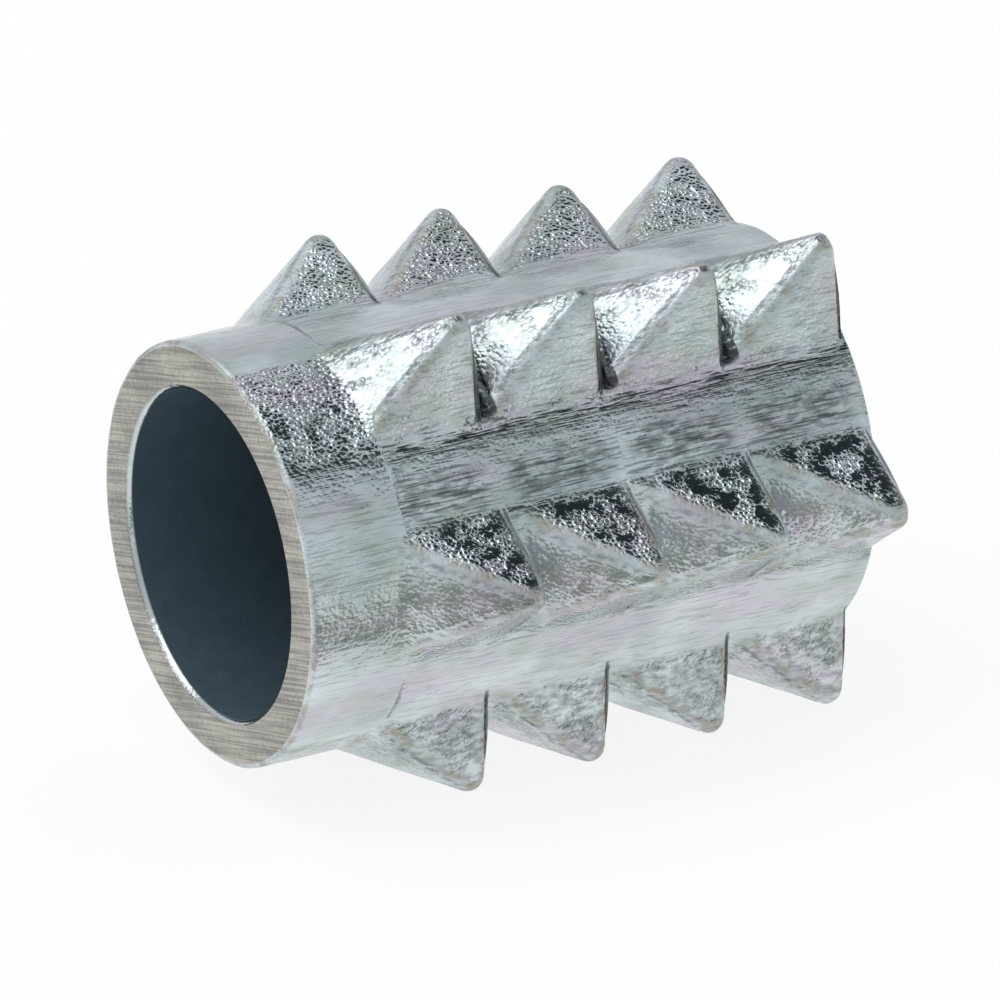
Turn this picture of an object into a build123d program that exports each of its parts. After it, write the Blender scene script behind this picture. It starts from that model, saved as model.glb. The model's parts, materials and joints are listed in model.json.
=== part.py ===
from build123d import *
import os
from math import asin, atan2, hypot, radians, sqrt, tan

# Hammer-in insert nut: a barbed sleeve, cast in one piece, with a metric thread in its bore.
# It lies on two rows of its barbs with its axis along X. The flush end, where the screw goes in,
# is at X = 0, and the pilot end, which enters the drilled hole first, is at -X.

# Sleeve
length = 13.1  # pilot end to flush end
pilot_diameter = 8.75  # plain collar ahead of the barbs
pilot_length = 2.25
pilot_edge_radius = 0.12  # rounding of the collar's leading edge
body_diameter = 8.58  # sleeve between the rows of barbs
flush_lip = 0.1  # how far the sleeve runs past the backs of the last barbs

# Bore
thread_diameter = 6.0  # M6, cut in a plain wall of its diameter less its pitch
thread_pitch = 1.0
thread_mouth_diameter = 6.6  # countersink at the flush end, where the screw starts
counterbore_diameter = 6.8  # plain clearance bore at the pilot end
counterbore_depth = 4.0
counterbore_edge = 0.09  # chamfer at its mouth
bore_cone_angle = 45.0  # slope of the countersink and of the counterbore's floor

# Barbs
barb_rows = 6
barbs_per_row = 4
barb_pitch = 2.81  # from one barb's back to the next in its row
barb_gap = 0.27  # floor between a barb's back and the foot of the next
barb_floor_diameter = 8.74  # across the floors of opposite rows, which stand proud of the sleeve
barb_tip_diameter = 11.76  # across the noses of opposite rows
barb_nose_radius = 0.3  # rounding of the nose in side view
barb_base_width = 2.72  # across the flanks where they meet the sleeve
barb_ridge_radius = 0.26  # rounding of the nose between the flanks
barb_sink = 0.4  # how far a barb is rooted in the sleeve's wall

overrun = 0.5  # how far a cutting shape runs past what it cuts

pilot_radius = pilot_diameter / 2
body_radius = body_diameter / 2
floor_radius = barb_floor_diameter / 2
tip_radius = barb_tip_diameter / 2
counterbore_radius = counterbore_diameter / 2
thread_mouth_radius = thread_mouth_diameter / 2
thread_wall_radius = (thread_diameter - thread_pitch) / 2

# In side view the leading face runs from its foot on the floor to the circle of the nose, which it touches.
barb_length = barb_pitch - barb_gap
nose_run = barb_length - barb_nose_radius
nose_rise = tip_radius - barb_nose_radius - floor_radius
front_slope = tan(atan2(nose_rise, nose_run) + asin(barb_nose_radius / hypot(nose_run, nose_rise)))
sharp_tip_radius = floor_radius + barb_length * front_slope

# In end view each flank runs in the same way from the edge of the base to the circle of the ridge.
base_half = barb_base_width / 2
base_height = sqrt(body_radius**2 - base_half**2)
ridge_rise = tip_radius - barb_ridge_radius - base_height
flank_slope = tan(atan2(ridge_rise, base_half) + asin(barb_ridge_radius / hypot(base_half, ridge_rise)))
sharp_ridge_height = base_height + base_half * flank_slope
root_height = base_height - barb_sink
root_half = base_half + barb_sink / flank_slope
ring_radius = root_height - overrun

# One row, with the back of its last barb at the origin and its noses towards +X: a ring with the side view
# of the row, cut down to the wedge between the flanks.
row_length = barb_pitch * barbs_per_row
row_profile = [(ring_radius, 0)]
for number in range(barbs_per_row):
    back = -barb_pitch * number
    row_profile += [(sharp_tip_radius, back), (floor_radius, back - barb_length), (floor_radius, back - barb_pitch)]
row_profile += [(ring_radius, -row_length)]

with BuildPart() as row:
    with BuildSketch(Plane.XZ):
        with BuildLine():
            Polyline(*row_profile, close=True)
        make_face()
        fillet(vertices().group_by(Axis.X)[-1], radius=barb_nose_radius)
    revolve(axis=Axis.Z)
    with BuildSketch(Plane.XY.offset(overrun)):
        with BuildLine():
            Polyline((root_height, root_half), (sharp_ridge_height, 0), (root_height, -root_half), close=True)
        make_face()
        fillet(vertices().sort_by(Axis.X)[-1], radius=barb_ridge_radius)
    extrude(amount=-(row_length + 2 * overrun), mode=Mode.INTERSECT)

# The sleeve with its collar, the rows of barbs around it, and the bore through it
pilot_end = -length
collar_end = pilot_end + pilot_length
counterbore_floor = pilot_end + counterbore_depth
cone_slope = tan(radians(bore_cone_angle))
thread_start = counterbore_floor + (counterbore_radius - thread_wall_radius) / cone_slope
thread_end = -(thread_mouth_radius - thread_wall_radius) / cone_slope
counterbore_mouth = counterbore_radius + counterbore_edge

with BuildPart() as insert_nut:
    with BuildSketch(Plane.XZ):
        with BuildLine():
            Polyline(
                (pilot_end, 0),
                (pilot_end, pilot_radius),
                (collar_end, pilot_radius),
                (collar_end, body_radius),
                (0, body_radius),
                (0, 0),
                close=True,
            )
        make_face()
        fillet(vertices().group_by(Axis.X)[0].sort_by(Axis.Y)[-1], radius=pilot_edge_radius)
    revolve(axis=Axis.X)
    with Locations(Plane.YZ.offset(-flush_lip)):
        with PolarLocations(0, barb_rows):
            add(row.part)
    with BuildSketch(Plane.XZ):
        with BuildLine():
            Polyline(
                (pilot_end - overrun, 0),
                (pilot_end - overrun, counterbore_mouth),
                (pilot_end, counterbore_mouth),
                (pilot_end + counterbore_edge, counterbore_radius),
                (counterbore_floor, counterbore_radius),
                (thread_start, thread_wall_radius),
                (thread_end, thread_wall_radius),
                (0, thread_mouth_radius),
                (overrun, thread_mouth_radius),
                (overrun, 0),
                close=True,
            )
        make_face()
    revolve(axis=Axis.X, mode=Mode.SUBTRACT)

insert_nut.part.label = "insert_nut"
os.makedirs("parts", exist_ok=True)
export_step(insert_nut.part, "parts/insert_nut.step")
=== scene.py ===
import json
import math
import bpy
import numpy as np
from mathutils import Matrix, Vector, noise


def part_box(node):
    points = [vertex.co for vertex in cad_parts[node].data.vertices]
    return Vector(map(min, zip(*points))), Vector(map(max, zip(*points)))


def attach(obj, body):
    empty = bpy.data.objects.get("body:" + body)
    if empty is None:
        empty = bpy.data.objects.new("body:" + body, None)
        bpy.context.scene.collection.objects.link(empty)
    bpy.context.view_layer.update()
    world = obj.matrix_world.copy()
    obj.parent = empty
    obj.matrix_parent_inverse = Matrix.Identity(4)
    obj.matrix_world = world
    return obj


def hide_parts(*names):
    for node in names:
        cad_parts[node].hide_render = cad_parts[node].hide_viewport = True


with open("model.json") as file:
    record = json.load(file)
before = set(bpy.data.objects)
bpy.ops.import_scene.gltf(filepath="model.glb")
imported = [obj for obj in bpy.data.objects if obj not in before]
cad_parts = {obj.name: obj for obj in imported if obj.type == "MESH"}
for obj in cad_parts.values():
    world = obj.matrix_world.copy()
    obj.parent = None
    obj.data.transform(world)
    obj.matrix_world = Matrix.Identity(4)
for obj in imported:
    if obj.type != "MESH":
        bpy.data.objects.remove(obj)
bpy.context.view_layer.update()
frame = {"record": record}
mm = 0.001
mounts = {m["name"]: m["dims"] for m in frame["record"]["mounts"] if m["dims"]}
nutLow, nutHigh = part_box("insert_nut")
print("frame loaded, nut is %.2f mm long" % ((nutHigh.x - nutLow.x) / mm))


def linear(hexColour):
    parts = [int(hexColour[i:i + 2], 16) / 255 for i in (1, 3, 5)]
    return [c / 12.92 if c <= 0.04045 else ((c + 0.055) / 1.055) ** 2.4 for c in parts] + [1.0]


def newMaterial(name):
    material = bpy.data.materials.new(name)
    material.use_nodes = True
    material.node_tree.nodes.clear()
    return material


def addNode(tree, kind, inputs={}, **settings):
    node = tree.nodes.new("ShaderNode" + kind)
    for name, value in settings.items():
        setattr(node, name, value)
    for key, value in inputs.items():
        if isinstance(value, bpy.types.NodeSocket):
            tree.links.new(value, node.inputs[key])
        else:
            node.inputs[key].default_value = value
    return node


# the sleeve, its barbs and its bore, in millimetres, axis along X, flush end at 0
sleeve = {
    "length": (nutHigh.x - nutLow.x) / mm,
    "collarRadius": mounts["barbed_sleeve"]["r_mm"],
    "collarLength": 2.25,
    "collarEdge": 0.12,  # rounding of the leading edge
    "collarStep": 0.12,  # length of the soft step from the collar to the sleeve
    "bodyRadius": 4.29,
    "flushLip": 0.1,  # sleeve past the backs of the last barbs
    "lipEdge": 0.03,
    "lipShare": 0.3,  # middle of that edge, as a share of it
}
barbs = {
    "rows": 6,
    "perRow": 4,
    "pitch": 2.81,
    "gap": 0.27,
    "floorRadius": 4.37,  # floor between two barbs of a row
    "floorStart": 0.015,  # the floor's first ring, past the foot of the wall before it
    "tipRadius": nutHigh.y / mm,
    "noseRadius": 0.3,
    "ridgeRadius": 0.26,
    "baseWidth": 2.72,
    "backRounding": 0.18,
    "backLean": 0.02,  # draft of the square back
    "edgeBlend": (0.16, 0.4, 0.4, 0.05),  # softness of the cast edges, from the nose down to the floor
    "edgeEnds": (1.0, 0.3),  # where it changes, from the back and from the foot
    "rampBlend": 0.08,  # leading face into the floor
    "ridgeBlend": 0.008,
    "ridgeLimits": (math.radians(2.0), math.radians(2.2)),  # least angle left to the face and to a flank
    "footBlend": (0.2, 0.3),  # at the lands with steps and at the smooth ones
    "footLeast": 0.02,
    "footRise": 0.4,  # height of the face above the land that gets the whole blend
    "footTaper": (0.15, 0.5),  # share of it at the back, and the run over which it grows
    "proudHeight": 0.2,  # height above the land that counts as proud
    "wallHeight": 0.25,
    "wornEdge": 0.15,
    "wornNose": 0.35,
    "wornBackShare": 0.3,
    "noseDrop": 0.05,  # most that a nose falls short
    "dropShare": 0.2,  # of the barb's length, where the whole drop is taken
    "noseLean": 0.012,  # most that a nose leans, in radians
    "seed": 11,
}
bore = {
    "threadRadius": mounts["thread"]["r_mm"],
    "threadLength": mounts["thread"]["length_mm"],
    "threadDepth": 0.5,
    "threadPitch": 1.0,
    "grooveShare": 1 / 16,  # half the flat at the bottom of the groove, as a share of the pitch
    "threadSlope": math.sqrt(3),  # flanks of a 60 degree thread
    "mouthRadius": 3.3,
    "counterboreRadius": mounts["counterbore"]["r_mm"],
    "counterboreLength": mounts["counterbore"]["length_mm"],
    "mouthEdge": 0.09,
    "mouthRing": 0.04,  # a ring just inside the chamfer keeps it crisp
    "shadeShort": 0.3,  # the bore's painted shade starts this far before the thread
}
castSkin = {
    "wave": 0.014,  # slow waviness of the casting
    "waveSize": 1.3,
    "ripple": 0.010,
    "rippleSize": 0.4,
    "smoothLoss": 0.6,  # share of it that the smooth lands lack
    "ridgeWander": 0.035,  # how far a ridge strays from a straight line
    "wanderRate": 2.1,
    "wanderApart": (7.3, 3.1, 5.7),  # rows, sides and barbs, so that no two stray alike
    "panelStep": 0.035,  # steps left by the die on three of the lands
    "panelSpan": math.radians(20.5),
    "panelFade": 8,
    "partings": [math.radians(d) for d in (21.0, 141.0, 261.0)],  # where the die's slides met
}

# mesh columns of one 60 degree sector, bunched at the ridges, and rings along the nut
columns = {"front": 8, "flank": 11, "land": 8, "frontBunch": 1.5, "flankBunch": 1.3}
rings = {"face": 6, "collarEdge": 7, "collar": 13, "mouth": 8, "thread": 73, "cone": 8, "counterbore": 7}

sectorAngle = 2 * math.pi / barbs["rows"]
barbLength = barbs["pitch"] - barbs["gap"]
bodyRadius = sleeve["bodyRadius"]
tipRadius = barbs["tipRadius"]
pilotEnd = -sleeve["length"]
collarEnd = pilotEnd + sleeve["collarLength"]
noseRun = barbLength - barbs["noseRadius"]
noseRise = tipRadius - barbs["noseRadius"] - barbs["floorRadius"]
frontAngle = math.atan2(noseRise, noseRun)
frontAngle += math.asin(barbs["noseRadius"] / math.hypot(noseRun, noseRise))
frontSlope = math.tan(frontAngle)
baseHalf = barbs["baseWidth"] / 2
baseAngle = math.asin(baseHalf / bodyRadius)
baseHeight = bodyRadius * math.cos(baseAngle)
ridgeRise = tipRadius - barbs["ridgeRadius"] - baseHeight
flankAngle = math.atan2(ridgeRise, baseHalf)
flankAngle += math.asin(barbs["ridgeRadius"] / math.hypot(ridgeRise, baseHalf))
flankSlope = math.tan(flankAngle)
flankSteep = math.hypot(1, flankSlope)
ridgeHeight = baseHeight + baseHalf * flankSlope


def clamp(values):
    return np.clip(values, 0, 1)


def softMin(a, b, blend):
    overlap = np.clip(blend - np.abs(a - b), 0, None) / blend
    return np.minimum(a, b) - overlap * overlap * blend / 4


def softMax(a, b, blend):
    return -softMin(-a, -b, blend)


# radius of the floor, the leading face and the round nose; run is the distance ahead of the barb's back
def frontRadius(run):
    rounding = barbs["noseRadius"]
    nose = tipRadius - rounding + np.sqrt(np.clip(rounding * rounding - (run - rounding) ** 2, 0, None))
    face = barbs["floorRadius"] + frontSlope * (barbLength - run)
    face = softMax(face, barbs["floorRadius"], barbs["rampBlend"])
    return np.where(run < rounding * (1 + math.sin(frontAngle)), nose, face)


def backDrop(run):
    rounding = barbs["backRounding"]
    inward = np.clip(1 - run / rounding, 0, None)
    return rounding * (1 - np.sqrt(np.clip(1 - inward ** 2, 0, None)))


def flankRadius(run, offCentre):
    side = np.sqrt(np.sin(offCentre) ** 2 + barbs["ridgeBlend"] ** 2)
    return (ridgeHeight - flankSteep * backDrop(run)) / (np.cos(offCentre) + flankSlope * side)


# angle from the middle of a row at which the leading face meets a flank
def ridgeAngle(run):
    share = (ridgeHeight - flankSteep * backDrop(run)) / (frontRadius(run) * flankSteep)
    edge = flankAngle - np.arccos(np.clip(share, -1, 1))
    faceLimit, flankLimit = barbs["ridgeLimits"]
    return float(np.clip(edge, faceLimit, baseAngle - flankLimit))


# angles of a sector's columns, with the ridges at the given angle
def columnAngles(edge):
    front = 1 - np.linspace(1, 0, columns["front"] + 1) ** columns["frontBunch"]
    flank = np.linspace(0, 1, columns["flank"] + 1)[1:] ** columns["flankBunch"]
    land = np.linspace(baseAngle, sectorAngle / 2, columns["land"] + 1)[1:]
    half = np.concatenate([edge * front, edge + (baseAngle - edge) * flank, land])
    return np.concatenate([-half[:0:-1], half[:-1]])


rng = np.random.default_rng(barbs["seed"])
noseDrop = rng.uniform(0.0, barbs["noseDrop"], (barbs["rows"], barbs["perRow"]))
noseLean = rng.uniform(-barbs["noseLean"], barbs["noseLean"], (barbs["rows"], barbs["perRow"]))
rowCentres = np.arange(barbs["rows"]) * sectorAngle
profile = []  # rings of the mesh: place, radius, angle, wear, depth past the ridge, height on a barb, zone


def ringAngles(edge):
    return (rowCentres[:, None] + columnAngles(edge)[None, :]).ravel()


def addRing(x, radius, angle, zone, wear=0.0, ridge=1.0, proud=0.0):
    values = (x, radius, angle, wear, ridge, proud)
    profile.append([np.broadcast_to(np.asarray(v, float), angle.shape).copy() for v in values] + [zone])


def sleeveRadius(x):
    step = clamp((x - collarEnd) / sleeve["collarStep"] + 0.5)
    step = step * step * (3 - 2 * step)
    return sleeve["collarRadius"] + (bodyRadius - sleeve["collarRadius"]) * step


# run ahead of the nearest backs, as a share of the pitch
def barbPhase(x):
    return ((-x - sleeve["flushLip"]) / barbs["pitch"]) % 1


# low steps beside the rows where the die's slides met, one step for each barb
def panelHeight(x, angle):
    height = np.zeros_like(angle)
    for parting in castSkin["partings"]:
        past = (angle - parting + math.pi) % (2 * math.pi) - math.pi
        along = np.clip(past, -1, 1) / castSkin["panelSpan"]
        ends = clamp(along * castSkin["panelFade"]) * clamp((1 - along) * castSkin["panelFade"])
        height = np.maximum(height, ends)
    return castSkin["panelStep"] * (1 - barbPhase(x)) * height * (x > collarEnd)


# one ring round all the rows, at a run ahead of the back of the numbered barbs
def barbRing(run, number):
    x = -sleeve["flushLip"] - barbs["pitch"] * number - run
    offCentre = columnAngles(ridgeAngle(run))
    fromBack, fromFoot = barbs["edgeEnds"]
    blend = np.interp(run, (0, fromBack, barbLength - fromFoot, barbLength), barbs["edgeBlend"])
    steppedFoot, smoothFoot = barbs["footBlend"]
    footShare, footRun = barbs["footTaper"]
    rowApart, sideApart, barbApart = castSkin["wanderApart"]
    found = []
    for row in range(barbs["rows"]):
        stray = [noise.noise(Vector((
            run * castSkin["wanderRate"], row * rowApart + side * sideApart, number * barbApart,
        ))) for side in (0, 1)]
        stray = castSkin["ridgeWander"] * np.where(offCentre < 0, *stray)
        lean = noseLean[row, number] * clamp(1 - run / barbLength)
        drop = noseDrop[row, number] * clamp(1 + barbs["dropShare"] - run / barbLength)
        front = frontRadius(run) - drop
        flank = flankRadius(run, offCentre - lean) + stray
        inside = flank - front
        body = softMin(front, flank, blend)
        land = sleeveRadius(x) + panelHeight(x, rowCentres[row] + offCentre)
        smoothSide = offCentre > 0 if row % 2 else offCentre < 0
        foot = np.where(smoothSide, smoothFoot, steppedFoot)
        foot = foot * clamp((front - land) / barbs["footRise"]) * clamp(footShare + run / footRun)
        radius = softMax(body, land, barbs["footLeast"] + foot)
        proud = clamp((body - land) / barbs["proudHeight"])
        wornEdge = np.exp(-(inside / barbs["wornEdge"]) ** 2)
        wear = proud * np.maximum(wornEdge, clamp(1 - run / barbs["wornNose"]))
        found.append((radius, wear, inside, proud))
    return [x] + [np.concatenate(values) for values in zip(*found)]


# pilot end: face from the bore's mouth outwards, round edge, collar
evenEdge = baseAngle / 2
footEdge = ridgeAngle(barbLength)
endAngles = ringAngles(evenEdge)
footAngles = ringAngles(footEdge)
boreMouth = bore["counterboreRadius"] + bore["mouthEdge"]
faceOut = sleeve["collarRadius"] - sleeve["collarEdge"]
for share in np.linspace(0, 1, rings["face"] + 1):
    addRing(pilotEnd, boreMouth + (faceOut - boreMouth) * share, endAngles, "pilotFace")
for turn in np.linspace(0, math.pi / 2, rings["collarEdge"] + 1)[1:]:
    x = pilotEnd + sleeve["collarEdge"] * (1 - math.cos(turn))
    addRing(x, faceOut + sleeve["collarEdge"] * math.sin(turn), endAngles, "outside", math.sin(2 * turn))
floorFrom = barbs["pitch"] - barbs["backLean"] - barbs["floorStart"]
collarFrom = pilotEnd + sleeve["collarEdge"]
collarTo = -sleeve["flushLip"] - barbs["pitch"] * (barbs["perRow"] - 1) - floorFrom
for share in np.linspace(0, 1, rings["collar"] + 1)[1:-1]:
    x = collarFrom + (collarTo - collarFrom) * share
    addRing(x, sleeveRadius(x), ringAngles(evenEdge + (footEdge - evenEdge) * share), "outside")

# barbs, from the pilot end to the flush end; runs ahead of the back in mm
barbRuns = {
    "foot": (0.1, -0.11, -0.14),  # past the foot of the face: floor, and the edge of the painted shade
    "face": (0.03, 0.62, 20),  # from this far past the foot to this run, in so many rings
    "nose": (0.5, 0.39, 0.3, 0.225, 0.16, 0.105, 0.065, 0.035, 0.014, 0.003),
    # down the square back, and out along its lean
    "backShares": ((0.22, 0.1), (0.45, 0.2), (0.68, 0.32), (0.86, 0.45), (0.95, 0.65), (0.995, 1.0)),
}
faceFrom, faceTo, faceRings = barbRuns["face"]
faceRuns = [floorFrom, *(barbLength + past for past in barbRuns["foot"])]
faceRuns += list(np.linspace(barbLength + faceFrom, faceTo, faceRings))
footRings = []
for number in reversed(range(barbs["perRow"])):
    footRings.append(len(profile))
    for run in [*sorted(faceRuns, reverse=True), *barbRuns["nose"]]:
        x, radius, *worn = barbRing(run, number)
        addRing(x, radius, ringAngles(ridgeAngle(run)), "outside", *worn)
    topX, topRadius, topAngles, topWear = profile[-1][:4]
    floorRadius = barbRing(floorFrom, number - 1)[1] if number else bodyRadius
    proud = clamp((topRadius - floorRadius) / barbs["wallHeight"])
    for share, out in barbRuns["backShares"]:
        x = topX + barbs["backLean"] * out
        radius = topRadius + (floorRadius - topRadius) * share
        wear = topWear * (share < barbs["wornBackShare"])
        addRing(x, radius, topAngles + (footAngles - topAngles) * share, "back", wear, proud=proud)

# flush end: the sleeve runs a little past the last barbs, and the countersink opens in its end
lip = sleeve["lipEdge"]
lipMiddle = lip * sleeve["lipShare"]
for x, inset in ((-lip, 0.0), (-lipMiddle, lipMiddle)):
    addRing(x, bodyRadius - inset, footAngles, "outside")
for share in np.linspace(0, 1, rings["face"] + 1):
    radius = bodyRadius - lip + (bore["mouthRadius"] - bodyRadius + lip) * share
    addRing(0, radius, footAngles + (endAngles - footAngles) * share, "flushFace")
flushRing = len(profile) - 1

# bore: countersink, right-hand thread, counterbore, chamfer at the mouth
threadEnd = -(bore["mouthRadius"] - bore["threadRadius"])
threadStart = threadEnd - bore["threadLength"]
chamferEnd = pilotEnd + bore["mouthEdge"]
counterboreFloor = chamferEnd + bore["counterboreLength"]


def boreRadius(x, angle):
    countersink = bore["mouthRadius"] + x
    cone = min(bore["counterboreRadius"] + counterboreFloor - x, bore["counterboreRadius"])
    chamfer = boreMouth - (x - pilotEnd)
    plain = max(countersink, cone, chamfer, bore["threadRadius"])
    turn = x / bore["threadPitch"] - angle / (2 * math.pi)
    offGroove = np.abs(turn - np.floor(turn) - 0.5)
    reach = (bore["grooveShare"] - offGroove) * bore["threadPitch"] * bore["threadSlope"]
    groove = bore["threadRadius"] + np.clip(bore["threadDepth"] + reach, 0, bore["threadDepth"])
    return np.maximum(plain, groove)


for x in np.concatenate([
    np.linspace(0, threadEnd, rings["mouth"] + 1)[1:],
    np.linspace(threadEnd, threadStart, rings["thread"] + 1)[1:],
    np.linspace(threadStart, counterboreFloor, rings["cone"] + 1)[1:],
    np.linspace(counterboreFloor, chamferEnd + bore["mouthRing"], rings["counterbore"] + 1)[1:],
    [chamferEnd, pilotEnd + bore["mouthEdge"] / 2],
]):
    # past the two mouths the bore is painted dark as shade
    unshaded = x > threadEnd + bore["shadeShort"] or x <= chamferEnd
    addRing(x, boreRadius(x, endAngles), endAngles, "mouth" if unshaded else "bore")
print("profile has %d rings of %d points" % (len(profile), len(endAngles)))

# where the finish changes: degrees from a parting line, half the width, and how fast it fades
areas = {
    "smooth": (-51, math.degrees(baseAngle), 20),  # the three lands without steps
    "roughBand": (-20, 20, 12),
    "beside": (-11, 10, 12),  # flanks next to a parting line
    "facing": (30, 11, 12),  # flanks across the land from it
    # the barbs in this stretch are made darker
    "darkerStretch": (-31, 11, 12),
    "leading": (-21, 19.5, 20),  # rows with painted shade behind their barbs
}
calmStretch = (203, 17, 10)  # less grain here: degrees round the nut, half the width, fade
ringCount, columnCount = len(profile), len(endAngles)
xs, radii, angles, wears, ridges, prouds = (np.array([ring[k] for ring in profile]) for k in range(6))
zones = np.array([ring[-1] for ring in profile])
partingGap = 2 * math.pi / len(castSkin["partings"])
fromParting = (angles - castSkin["partings"][0] + partingGap / 2) % partingGap - partingGap / 2


def near(angle, place, halfWidth, fade):
    return clamp((math.radians(halfWidth) - np.abs(angle - math.radians(place))) * fade)


def inZones(*names):
    return np.isin(zones, names)[:, None] * np.ones(columnCount)


# slow waviness of the casting, never past the noses
area = {name: near(fromParting, *where) for name, where in areas.items()}
wave = np.zeros_like(radii)
spots = np.stack([xs, radii * np.cos(angles), radii * np.sin(angles)], axis=-1)
for i in np.flatnonzero(np.isin(zones, ("outside", "back"))):
    for j in range(columnCount):
        spot = Vector(spots[i, j])
        wave[i, j] = castSkin["wave"] * noise.noise(spot / castSkin["waveSize"])
        wave[i, j] += castSkin["ripple"] * noise.noise(spot / castSkin["rippleSize"])
radii = np.minimum(radii + wave * (1 - castSkin["smoothLoss"] * area["smooth"]), tipRadius)

points = np.stack([xs, radii * np.cos(angles), radii * np.sin(angles)], axis=-1).reshape(-1, 3) * mm
grid = np.arange(ringCount * columnCount).reshape(ringCount, columnCount)
nextRing = np.roll(grid, -1, axis=0)
quads = np.stack([grid, np.roll(grid, -1, axis=1), np.roll(nextRing, -1, axis=1), nextRing], axis=-1)
nutMesh = bpy.data.meshes.new("insertNutCast")
nutMesh.from_pydata(points.tolist(), [], quads.reshape(-1, 4).tolist())
nutMesh.validate()
nutMesh.shade_smooth()
nut = bpy.data.objects.new("insertNutCast", nutMesh)
bpy.context.scene.collection.objects.link(nut)

# sharp lines at the rims of the two end faces and behind the barbs
sharpRings = [0, rings["face"], flushRing - rings["face"], flushRing, *footRings[1:]]
edgeEnds = np.zeros(len(nutMesh.edges) * 2, int)
nutMesh.edges.foreach_get("vertices", edgeEnds)
edgeRings = edgeEnds.reshape(-1, 2) // columnCount
sharp = (edgeRings[:, 0] == edgeRings[:, 1]) & np.isin(edgeRings[:, 0], sharpRings)
nutMesh.attributes.new("sharp_edge", "BOOLEAN", "EDGE").data.foreach_set("value", sharp)

# masks that tell the finish where it is: heights, runs and blends in mm, fades as slopes
marks = {
    "landHeight": 0.1,  # land reaches this far above the sleeve
    "landBlend": 0.12,
    "ridgeFade": 8,
    "frontShare": 0.3,  # of the leading face's finish, on its ridges
    "proudFade": 4,
    "filletFade": 3,
    "pitRun": 0.14,  # painted shade behind a barb starts this far up the next one's face
    "pitBlend": 0.03,
    "pitRidgeFade": 12,
    "pitRidgeShare": 0.5,
    "pitCollar": 0.2,  # and there is none ahead of the first barbs
    "pitLowest": -0.4,  # or under the nut, by the sine of the angle
    "panelFade": 8,
    "panelStart": 0.3,  # a rubbed strip beside each step stays bright
    "streakCollarShare": 0.6,
    "streakSmoothLoss": 0.55,
    "streakBesideShare": 0.6,
}
# grain of the casting that some places lack, and that others have, as shares
grainLoss = {"front": 0.5, "calm": 0.6, "fillet": 0.8, "beside": 0.6, "facing": 0.4, "wall": 0.8, "worn": 0.5}
grainShare = {"land": 0.2, "foot": 0.6, "smooth": 0.12, "endFace": 0.15, "mouth": 0.1}
outside = inZones("outside", "back")
endFace = inZones("pilotFace", "flushFace")
walls = inZones("back") * prouds
low = outside * clamp(1 - (radii - bodyRadius - marks["landHeight"]) / marks["landBlend"])
land = low * (xs > collarEnd)
smooth = area["smooth"] * low
beside = area["beside"] * prouds
facing = area["facing"] * prouds
calm = near(angles % (2 * math.pi), *calmStretch)
onFront = clamp(ridges * marks["ridgeFade"] + marks["frontShare"]) * prouds
onFoot = clamp(prouds * marks["proudFade"])
onFillet = low * clamp(prouds * marks["filletFade"]) * clamp(ridges * marks["ridgeFade"])

skin = outside * (1 - low) * (1 - grainLoss["front"] * onFront) * (1 - grainLoss["calm"] * calm)
landSkin = grainShare["land"] + (1 - grainShare["land"]) * area["roughBand"]
skin += low * (1 - smooth) * np.maximum(landSkin, grainShare["foot"] * onFoot)
skin += grainShare["smooth"] * smooth
for name, where in {
    "fillet": onFillet, "beside": beside, "facing": facing, "wall": walls, "worn": wears,
}.items():
    skin *= 1 - grainLoss[name] * where
skin += grainShare["endFace"] * endFace + grainShare["mouth"] * (1 - outside - endFace)

phase = barbPhase(xs)
# painted shade in the gap behind each barb, running up the foot of the next one's face
behind = clamp((phase * barbs["pitch"] - barbLength + marks["pitRun"]) / marks["pitBlend"])
behind *= (xs > collarEnd + barbs["gap"] + marks["pitCollar"]) * (np.sin(angles) > marks["pitLowest"])
behind *= area["leading"] * onFoot * clamp(ridges * marks["pitRidgeFade"] + marks["pitRidgeShare"])
drawn = low * (1 - marks["streakSmoothLoss"] * smooth)
drawn *= marks["streakCollarShare"] + (1 - marks["streakCollarShare"]) * land
masks = {
    "inBore": inZones("bore"),
    "wall": walls,
    "endFace": endFace,
    "wear": wears,
    "ridge": ridges,
    "proud": prouds,
    "front": onFront * (1 - low),
    "gapShade": behind,
    "darkerBarbs": prouds * area["darkerStretch"],
    "drawn": np.maximum(drawn, marks["streakBesideShare"] * beside),
    "land": land,
    "panel": land * clamp((0.5 - np.abs(phase - 0.5)) * marks["panelFade"] - marks["panelStart"]),
    "skin": skin,
}
for name, values in masks.items():
    attribute = nutMesh.attributes.new(name, "FLOAT", "POINT")
    attribute.data.foreach_set("value", values.ravel().astype(np.float32))
print("nut mesh has %d quads" % len(nutMesh.polygons))

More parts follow.
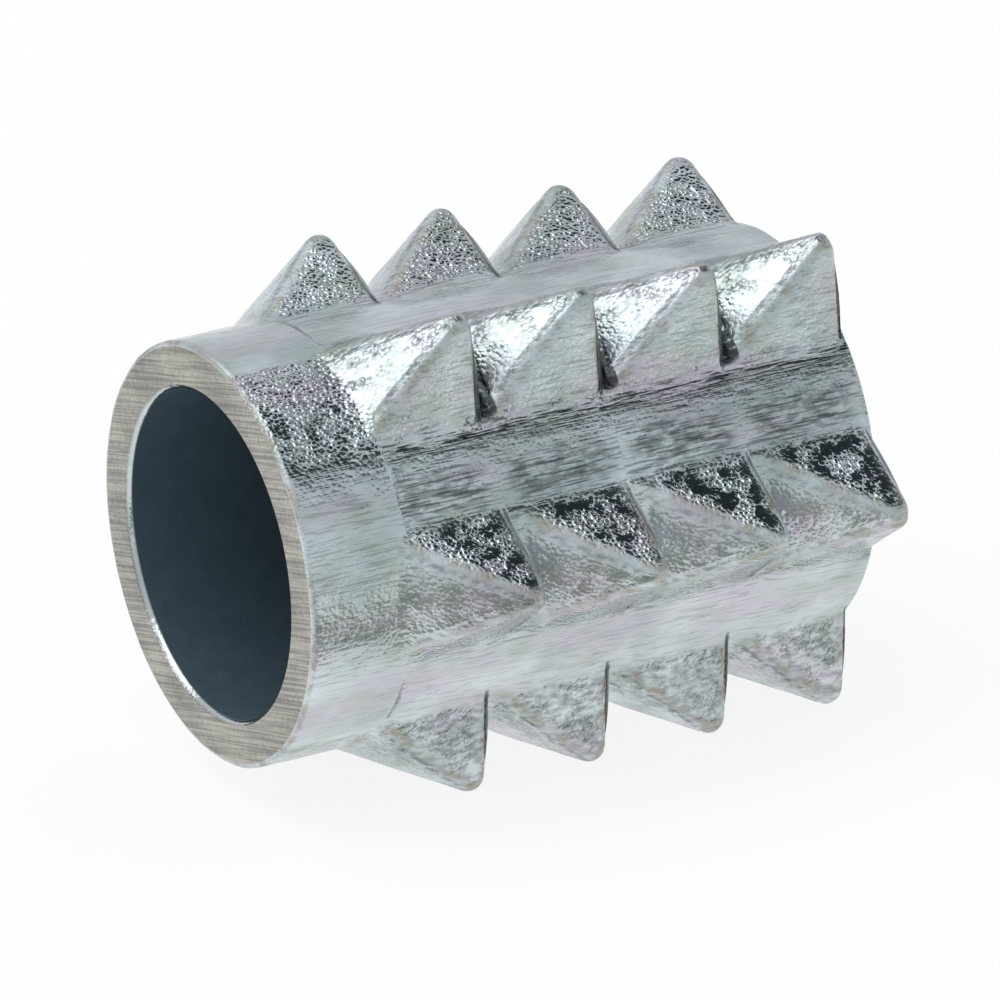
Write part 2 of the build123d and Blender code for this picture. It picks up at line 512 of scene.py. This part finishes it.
# bright zinc plate on die-cast zinc: a cool grey mirror that the grain of the casting breaks into sparkle,
# with drawn streaks on the lands, saw marks on the cut ends and a faint rose and green passivation
zincPlate = {
    "plate": "#D6E0E3",
    "dull": "#B4BFC1",
    "rose": "#CFC8D4",
    "green": "#B4C0B6",
    "tan": "#A3967F",  # thin plate on worn edges
    # dark colour for the dirt in the grain and streaks, and for painted shade
    "dirtAndShade": "#353B3F",
    "cutLight": "#B6B3A8",
    "cutDark": "#888985",
    "boreShade": "#40535F",  # painted shade inside the bore, which is plated like the rest
    "boreShadeLight": "#586A75",
    "polish": 0.07,  # roughness of the brightest and the dullest plate
    "matt": 0.2,
    "boreMetal": 0.1,
    "pebble": 0.095,  # size of the casting's sparkling grains, in mm
    "pebbleGrain": -0.55,  # finer grain taken off them
    "patches": (0.4, 0.6, 0.36, 1.1),  # span of the blotches, and the share of the grain at its two ends
    "lineStray": 0.16,  # how far a parting line wanders, over this span of the streaks
    "straySpan": (0.2, 0.8),
    "line": (0.16, 0.04),  # where it starts and is full, in mm from its middle
    "band": (0.6, 0.2),  # the same for the dull band beside it
    "bandPlace": 1.0,
    "hollow": (0.14, 0.03),  # and for the hollow beside each ridge of a barb, painted darker as shade
    "hollowPlace": 0.24,
    "patternShift": 7.3,  # keeps the patterns from lining up
}
# size in mm, detail, stretch along the axes, turn about the bore in degrees; streaks and saw marks are drawn
# coarser than the real scratches so that they show
textures = {
    "grain": (0.075, 0.8, (1, 1, 1), 0),
    "streak": (0.045, 2, (16, 1, 1), 0),
    "saw": (0.036, 1, (1, 60, 1), -15),
    "smear": (0.12, 4, (2.2, 1, 1), 0),
    "cloud": (1.7, 2, (1, 1, 1), 0),
    "rose": (1.0, 2, (3, 1, 1), 0),
    "green": (0.7, 2, (1.5, 1, 1), 0),
    "blotch": (0.4, 2, (1, 1, 1), 0),
}
# pattern, where it starts and is full, most that it covers, mask, colour
layers = (
    ("cloud", 0.38, 0.66, 0.9, None, "dull"),
    ("rose", 0.45, 0.68, 0.7, None, "rose"),
    ("green", 0.48, 0.7, 0.6, None, "green"),
    ("smear", 0.4, 0.76, 0.38, "skin", "dirtAndShade"),
    # darker barbs in a stretch beside each parting line
    ("smear", 0.36, 0.72, 0.42, "darkerBarbs", "dirtAndShade"),
    ("blotch", 0.42, 0.62, 0.55, "wear", "tan"),
    # painted shade in the hollow beside each ridge
    ("smear", 0.4, 0.6, 0.4, "hollow", "dirtAndShade"),
    ("streak", 0.54, 0.61, 0.5, "drawn", "dirtAndShade"),
    ("streak", 0.46, 0.56, 0.45, "band", "dirtAndShade"),
    ("smear", 0.42, 0.56, 0.45, "band", "dirtAndShade"),
    ("streak", 0.45, 0.55, 0.95, "line", "dirtAndShade"),
    # painted shade in the gaps between the barbs
    ("smear", 0.3, 0.42, 0.92, "gapShade", "dirtAndShade"),
    ("blotch", 0.0, 0.1, 1.0, "endFace", "cutLight"),
    ("saw", 0.38, 0.64, 1.0, "endFace", "cutDark"),
    ("cloud", 0.42, 0.66, 0.3, "endFace", "dirtAndShade"),
    ("smear", 0.5, 0.7, 0.25, "endFace", "dirtAndShade"),
    # painted shade inside the bore, with lighter patches
    ("cloud", 0.0, 0.1, 1.0, "inBore", "boreShade"),
    ("blotch", 0.4, 0.7, 0.25, "inBore", "boreShadeLight"),
)
glossSpan = (0.35, 0.68)  # of the blotches
rougher = {"drawn": 0.12, "wear": 0.3, "front": 0.12}  # added to the roughness
dullAt = {"wall": 0.9, "inBore": 0.8}  # roughness on the backs, where there is little plate, and in the bore, where the painted shade is kept dull
relief = (  # pattern, height in mm, mask
    ("crust", -0.065, "patchySkin"),
    ("streak", 0.009, "drawn"),
    ("line", -0.02, "land"),
    ("hollow", -0.01, "proud"),
    ("saw", 0.01, "endFace"),
)
zinc = newMaterial("zincPlatedDieCast")
tree = zinc.node_tree
mask = {name: addNode(tree, "Attribute", attribute_name=name).outputs["Fac"] for name in masks}
place = addNode(tree, "TexCoord").outputs["Object"]
place = addNode(tree, "VectorMath", {0: place, "Scale": 1 / mm}, operation="SCALE").outputs[0]
for number, (name, (size, detail, stretch, turn)) in enumerate(textures.items()):
    spot = addNode(tree, "Mapping", {
        "Vector": place,
        "Location": [zincPlate["patternShift"] * number] * 3,
        "Rotation": (math.radians(turn), 0, 0),
        "Scale": stretch,
    }, vector_type="TEXTURE").outputs[0]
    mask[name] = addNode(tree, "TexNoise", {"Vector": spot, "Scale": 1 / size, "Detail": detail}).outputs[0]

# sparkling grains, in patches
patchy = addNode(tree, "MapRange", {0: mask["blotch"], **dict(enumerate(zincPlate["patches"], 1))}).outputs[0]
mask["patchySkin"] = addNode(tree, "Math", {0: mask["skin"], 1: patchy}, operation="MULTIPLY").outputs[0]
cells = addNode(tree, "TexVoronoi", {"Vector": place, "Scale": 1 / zincPlate["pebble"]}).outputs["Distance"]
pebble = addNode(tree, "Math", {0: cells, 1: cells}, operation="MULTIPLY").outputs[0]
mask["crust"] = addNode(tree, "Math", {
    0: mask["grain"], 1: zincPlate["pebbleGrain"], 2: pebble,
}, operation="MULTIPLY_ADD").outputs[0]

# distance in mm past the nearest parting line; the line itself is strayed a little by the streaks
halfGap = partingGap / 2 * bodyRadius
parts = addNode(tree, "SeparateXYZ", {0: place}).outputs
turn = addNode(tree, "Math", {0: parts["Z"], 1: parts["Y"]}, operation="ARCTAN2").outputs[0]
turn = addNode(tree, "Math", {
    0: turn, 1: 1 / partingGap, 2: 0.5 - castSkin["partings"][0] / partingGap,
}, operation="MULTIPLY_ADD").outputs[0]
turn = addNode(tree, "Math", {0: turn}, operation="FRACT").outputs[0]
past = addNode(tree, "MapRange", {0: turn, 3: -halfGap, 4: halfGap}).outputs[0]
strayFrom, strayTo = zincPlate["straySpan"]
stray = addNode(tree, "MapRange", {
    0: mask["streak"], 1: strayFrom, 2: strayTo, 3: -zincPlate["lineStray"], 4: zincPlate["lineStray"],
}).outputs[0]
fromLine = addNode(tree, "Math", {0: past, 1: stray}, operation="ADD").outputs[0]
fromBand = addNode(tree, "Math", {0: past, 1: zincPlate["bandPlace"]}, operation="SUBTRACT").outputs[0]
fromHollow = addNode(tree, "Math", {
    0: mask["ridge"], 1: zincPlate["hollowPlace"],
}, operation="SUBTRACT").outputs[0]
for name, away, where in (
    ("line", fromLine, "land"), ("band", fromBand, "panel"), ("hollow", fromHollow, "proud"),
):
    far, full = zincPlate[name]
    away = addNode(tree, "Math", {0: away}, operation="ABSOLUTE").outputs[0]
    share = addNode(tree, "MapRange", {0: away, 1: far, 2: full}).outputs[0]
    mask[name] = addNode(tree, "Math", {0: share, 1: mask[where]}, operation="MULTIPLY").outputs[0]

colour = linear(zincPlate["plate"])
for pattern, start, full, most, where, tint in layers:
    share = addNode(tree, "MapRange", {0: mask[pattern], 1: start, 2: full, 4: most}).outputs[0]
    if where:
        share = addNode(tree, "Math", {0: share, 1: mask[where]}, operation="MULTIPLY").outputs[0]
    tint = linear(zincPlate[tint])
    colour = addNode(tree, "Mix", {0: share, 6: colour, 7: tint}, data_type="RGBA").outputs[2]

gloss = addNode(tree, "MapRange", {
    0: mask["blotch"], 1: glossSpan[0], 2: glossSpan[1], 3: zincPlate["polish"], 4: zincPlate["matt"],
}).outputs[0]
for where, more in rougher.items():
    gloss = addNode(tree, "Math", {0: mask[where], 1: more, 2: gloss}, operation="MULTIPLY_ADD").outputs[0]
for where, dull in dullAt.items():
    gloss = addNode(tree, "Mix", {0: mask[where], 2: gloss, 3: dull}).outputs[0]
# the bore is kept almost unmetallic, so that its painted shade stays flat
metal = addNode(tree, "MapRange", {0: mask["inBore"], 3: 1.0, 4: zincPlate["boreMetal"]}).outputs[0]
metal = addNode(tree, "Math", {0: metal, 1: mask["wall"]}, operation="SUBTRACT").outputs[0]
surface = {"Base Color": colour, "Metallic": metal, "Roughness": gloss}
below = {}
for pattern, height, where in relief:
    bump = {"Height": mask[pattern], "Strength": mask[where], "Distance": abs(height) * mm, **below}
    below = {"Normal": addNode(tree, "Bump", bump, invert=height < 0).outputs[0]}
shader = addNode(tree, "BsdfPrincipled", {**surface, **below})
addNode(tree, "OutputMaterial", {"Surface": shader.outputs[0]})
nutMesh.materials.append(zinc)
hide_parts("insert_nut")
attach(nut, "root")
print("zinc plate done")

# studio: white paper, a pale room, a softbox over the pilot end, a dark flag over the flush end and two
# cards in front; sizes and distances in metres
studio = {
    "paper": "#FFFFFF",
    "roomFront": "#D4D8DA",
    "roomBack": "#DDDFE3",
    "roomSpan": 0.8,  # how far the room's two greys blend into each other
    "floorSize": 6.0,
    "shadow": 0.15,  # how much of the shadow the paper shows
    "centre": Vector((-6.5, 0, 0)) * mm,
    "cardLift": 0.1 * mm,  # keeps the cards off the paper
}
softbox = {"toward": (-0.473, 0.095, 0.875), "distance": 0.4, "size": 0.38, "radiance": 1.35}
cards = {
    "blackFlag": {
        "colour": "#2E363A", "size": (0.3, 0.27), "toward": (0.457, -0.15, 0.876), "distance": 0.35,
    },
    "greyCard": {"colour": "#9C9F98", "size": (0.0385, 0.015), "corner": (-45.0, -24.0)},  # corners in mm
    "paleCard": {"colour": "#D8DAD8", "size": (0.1, 0.06), "corner": (-45.0, -84.0)},
}


def addSheet(name, size):
    wide, deep = (side / 2 for side in size)
    mesh = bpy.data.meshes.new(name)
    corners = [(-wide, -deep, 0), (wide, -deep, 0), (wide, deep, 0), (-wide, deep, 0)]
    mesh.from_pydata(corners, [], [(0, 1, 2, 3)])
    sheet = bpy.data.objects.new(name, mesh)
    bpy.context.scene.collection.objects.link(sheet)
    return sheet


# hang a lamp or a card round the nut, facing it
def hang(holder, toward, distance):
    toward = Vector(toward).normalized()
    holder.location = studio["centre"] + toward * distance
    holder.rotation_euler = toward.to_track_quat("Z", "Y").to_euler()


floor = addSheet("studioFloor", [studio["floorSize"]] * 2)
floor.location.z = nutLow.z
paper = newMaterial("whitePaperSweep")
tree = paper.node_tree
rays = addNode(tree, "LightPath").outputs
seen = rays["Is Camera Ray"]
for name in ("Is Glossy Ray", "Is Transmission Ray"):
    seen = addNode(tree, "Math", {0: seen, 1: rays[name]}, operation="MAXIMUM").outputs[0]
seen = addNode(tree, "Math", {0: seen, 1: 1 - studio["shadow"]}, operation="MULTIPLY").outputs[0]
matte = addNode(tree, "BsdfDiffuse", {"Color": linear(studio["paper"])}).outputs[0]
glow = addNode(tree, "Emission", {"Color": linear(studio["paper"]), "Strength": 1.0}).outputs[0]
both = addNode(tree, "MixShader", {0: seen, 1: matte, 2: glow}).outputs[0]
addNode(tree, "OutputMaterial", {"Surface": both})
floor.data.materials.append(paper)

world = bpy.data.worlds.new("studioRoom")
bpy.context.scene.world = world
world.use_nodes = True
tree = world.node_tree
toward = addNode(tree, "TexCoord").outputs["Generated"]
depth = addNode(tree, "SeparateXYZ", {0: toward}).outputs["Y"]
depth = addNode(tree, "MapRange", {0: depth, 1: -studio["roomSpan"], 2: studio["roomSpan"]}).outputs[0]
greys = {6: linear(studio["roomFront"]), 7: linear(studio["roomBack"])}
room = addNode(tree, "Mix", {0: depth, **greys}, data_type="RGBA").outputs[2]
tree.links.new(room, tree.nodes["Background"].inputs["Color"])

light = bpy.data.lights.new("softbox", "AREA")
light.shape = "SQUARE"
light.size = softbox["size"]
light.energy = softbox["radiance"] * math.pi * softbox["size"] ** 2
lamp = bpy.data.objects.new("softbox", light)
hang(lamp, softbox["toward"], softbox["distance"])
bpy.context.scene.collection.objects.link(lamp)

for name, card in cards.items():
    sheet = addSheet(name, card["size"])
    if "toward" in card:
        hang(sheet, card["toward"], card["distance"])
    else:
        x, y = (corner * mm + side / 2 for corner, side in zip(card["corner"], card["size"]))
        sheet.location = (x, y, nutLow.z + studio["cardLift"])
    sheet.visible_camera = sheet.visible_diffuse = sheet.visible_shadow = False
    cloth = newMaterial(name + "Cloth")
    tree = cloth.node_tree
    glow = addNode(tree, "Emission", {"Color": linear(card["colour"]), "Strength": 1.0})
    addNode(tree, "OutputMaterial", {"Surface": glow.outputs[0]})
    sheet.data.materials.append(cloth)
print("studio done")

# camera, from the photo's own perspective; degrees and millimetres
view = {
    "azimuth": -29.351,
    "elevation": 21.182,
    "roll": -1.476,
    "distance": 217.848,
    "aim": (-6.346, 0.0, -0.253),
    "lens": 386.227,
    "sensor": 36.0,
    "clip": (0.01, 20.0),  # in metres
}
azimuth, elevation, roll = (math.radians(view[k]) for k in ("azimuth", "elevation", "roll"))
level = math.cos(elevation)
back = Vector((math.sin(azimuth) * level, -math.cos(azimuth) * level, math.sin(elevation)))
right = Vector((math.cos(azimuth), math.sin(azimuth), 0))
up = back.cross(right)
sideways = right * math.cos(roll) + up * math.sin(roll)
upright = up * math.cos(roll) - right * math.sin(roll)
lens = bpy.data.cameras.new("productCamera")
lens.sensor_width = view["sensor"]
lens.lens = view["lens"]
lens.clip_start, lens.clip_end = view["clip"]
camera = bpy.data.objects.new("productCamera", lens)
stand = Matrix((sideways, upright, back)).transposed().to_4x4()
stand.translation = (Vector(view["aim"]) + back * view["distance"]) * mm
camera.matrix_world = stand
bpy.context.scene.collection.objects.link(camera)
bpy.context.scene.camera = camera
bpy.context.scene.view_settings.view_transform = "Standard"
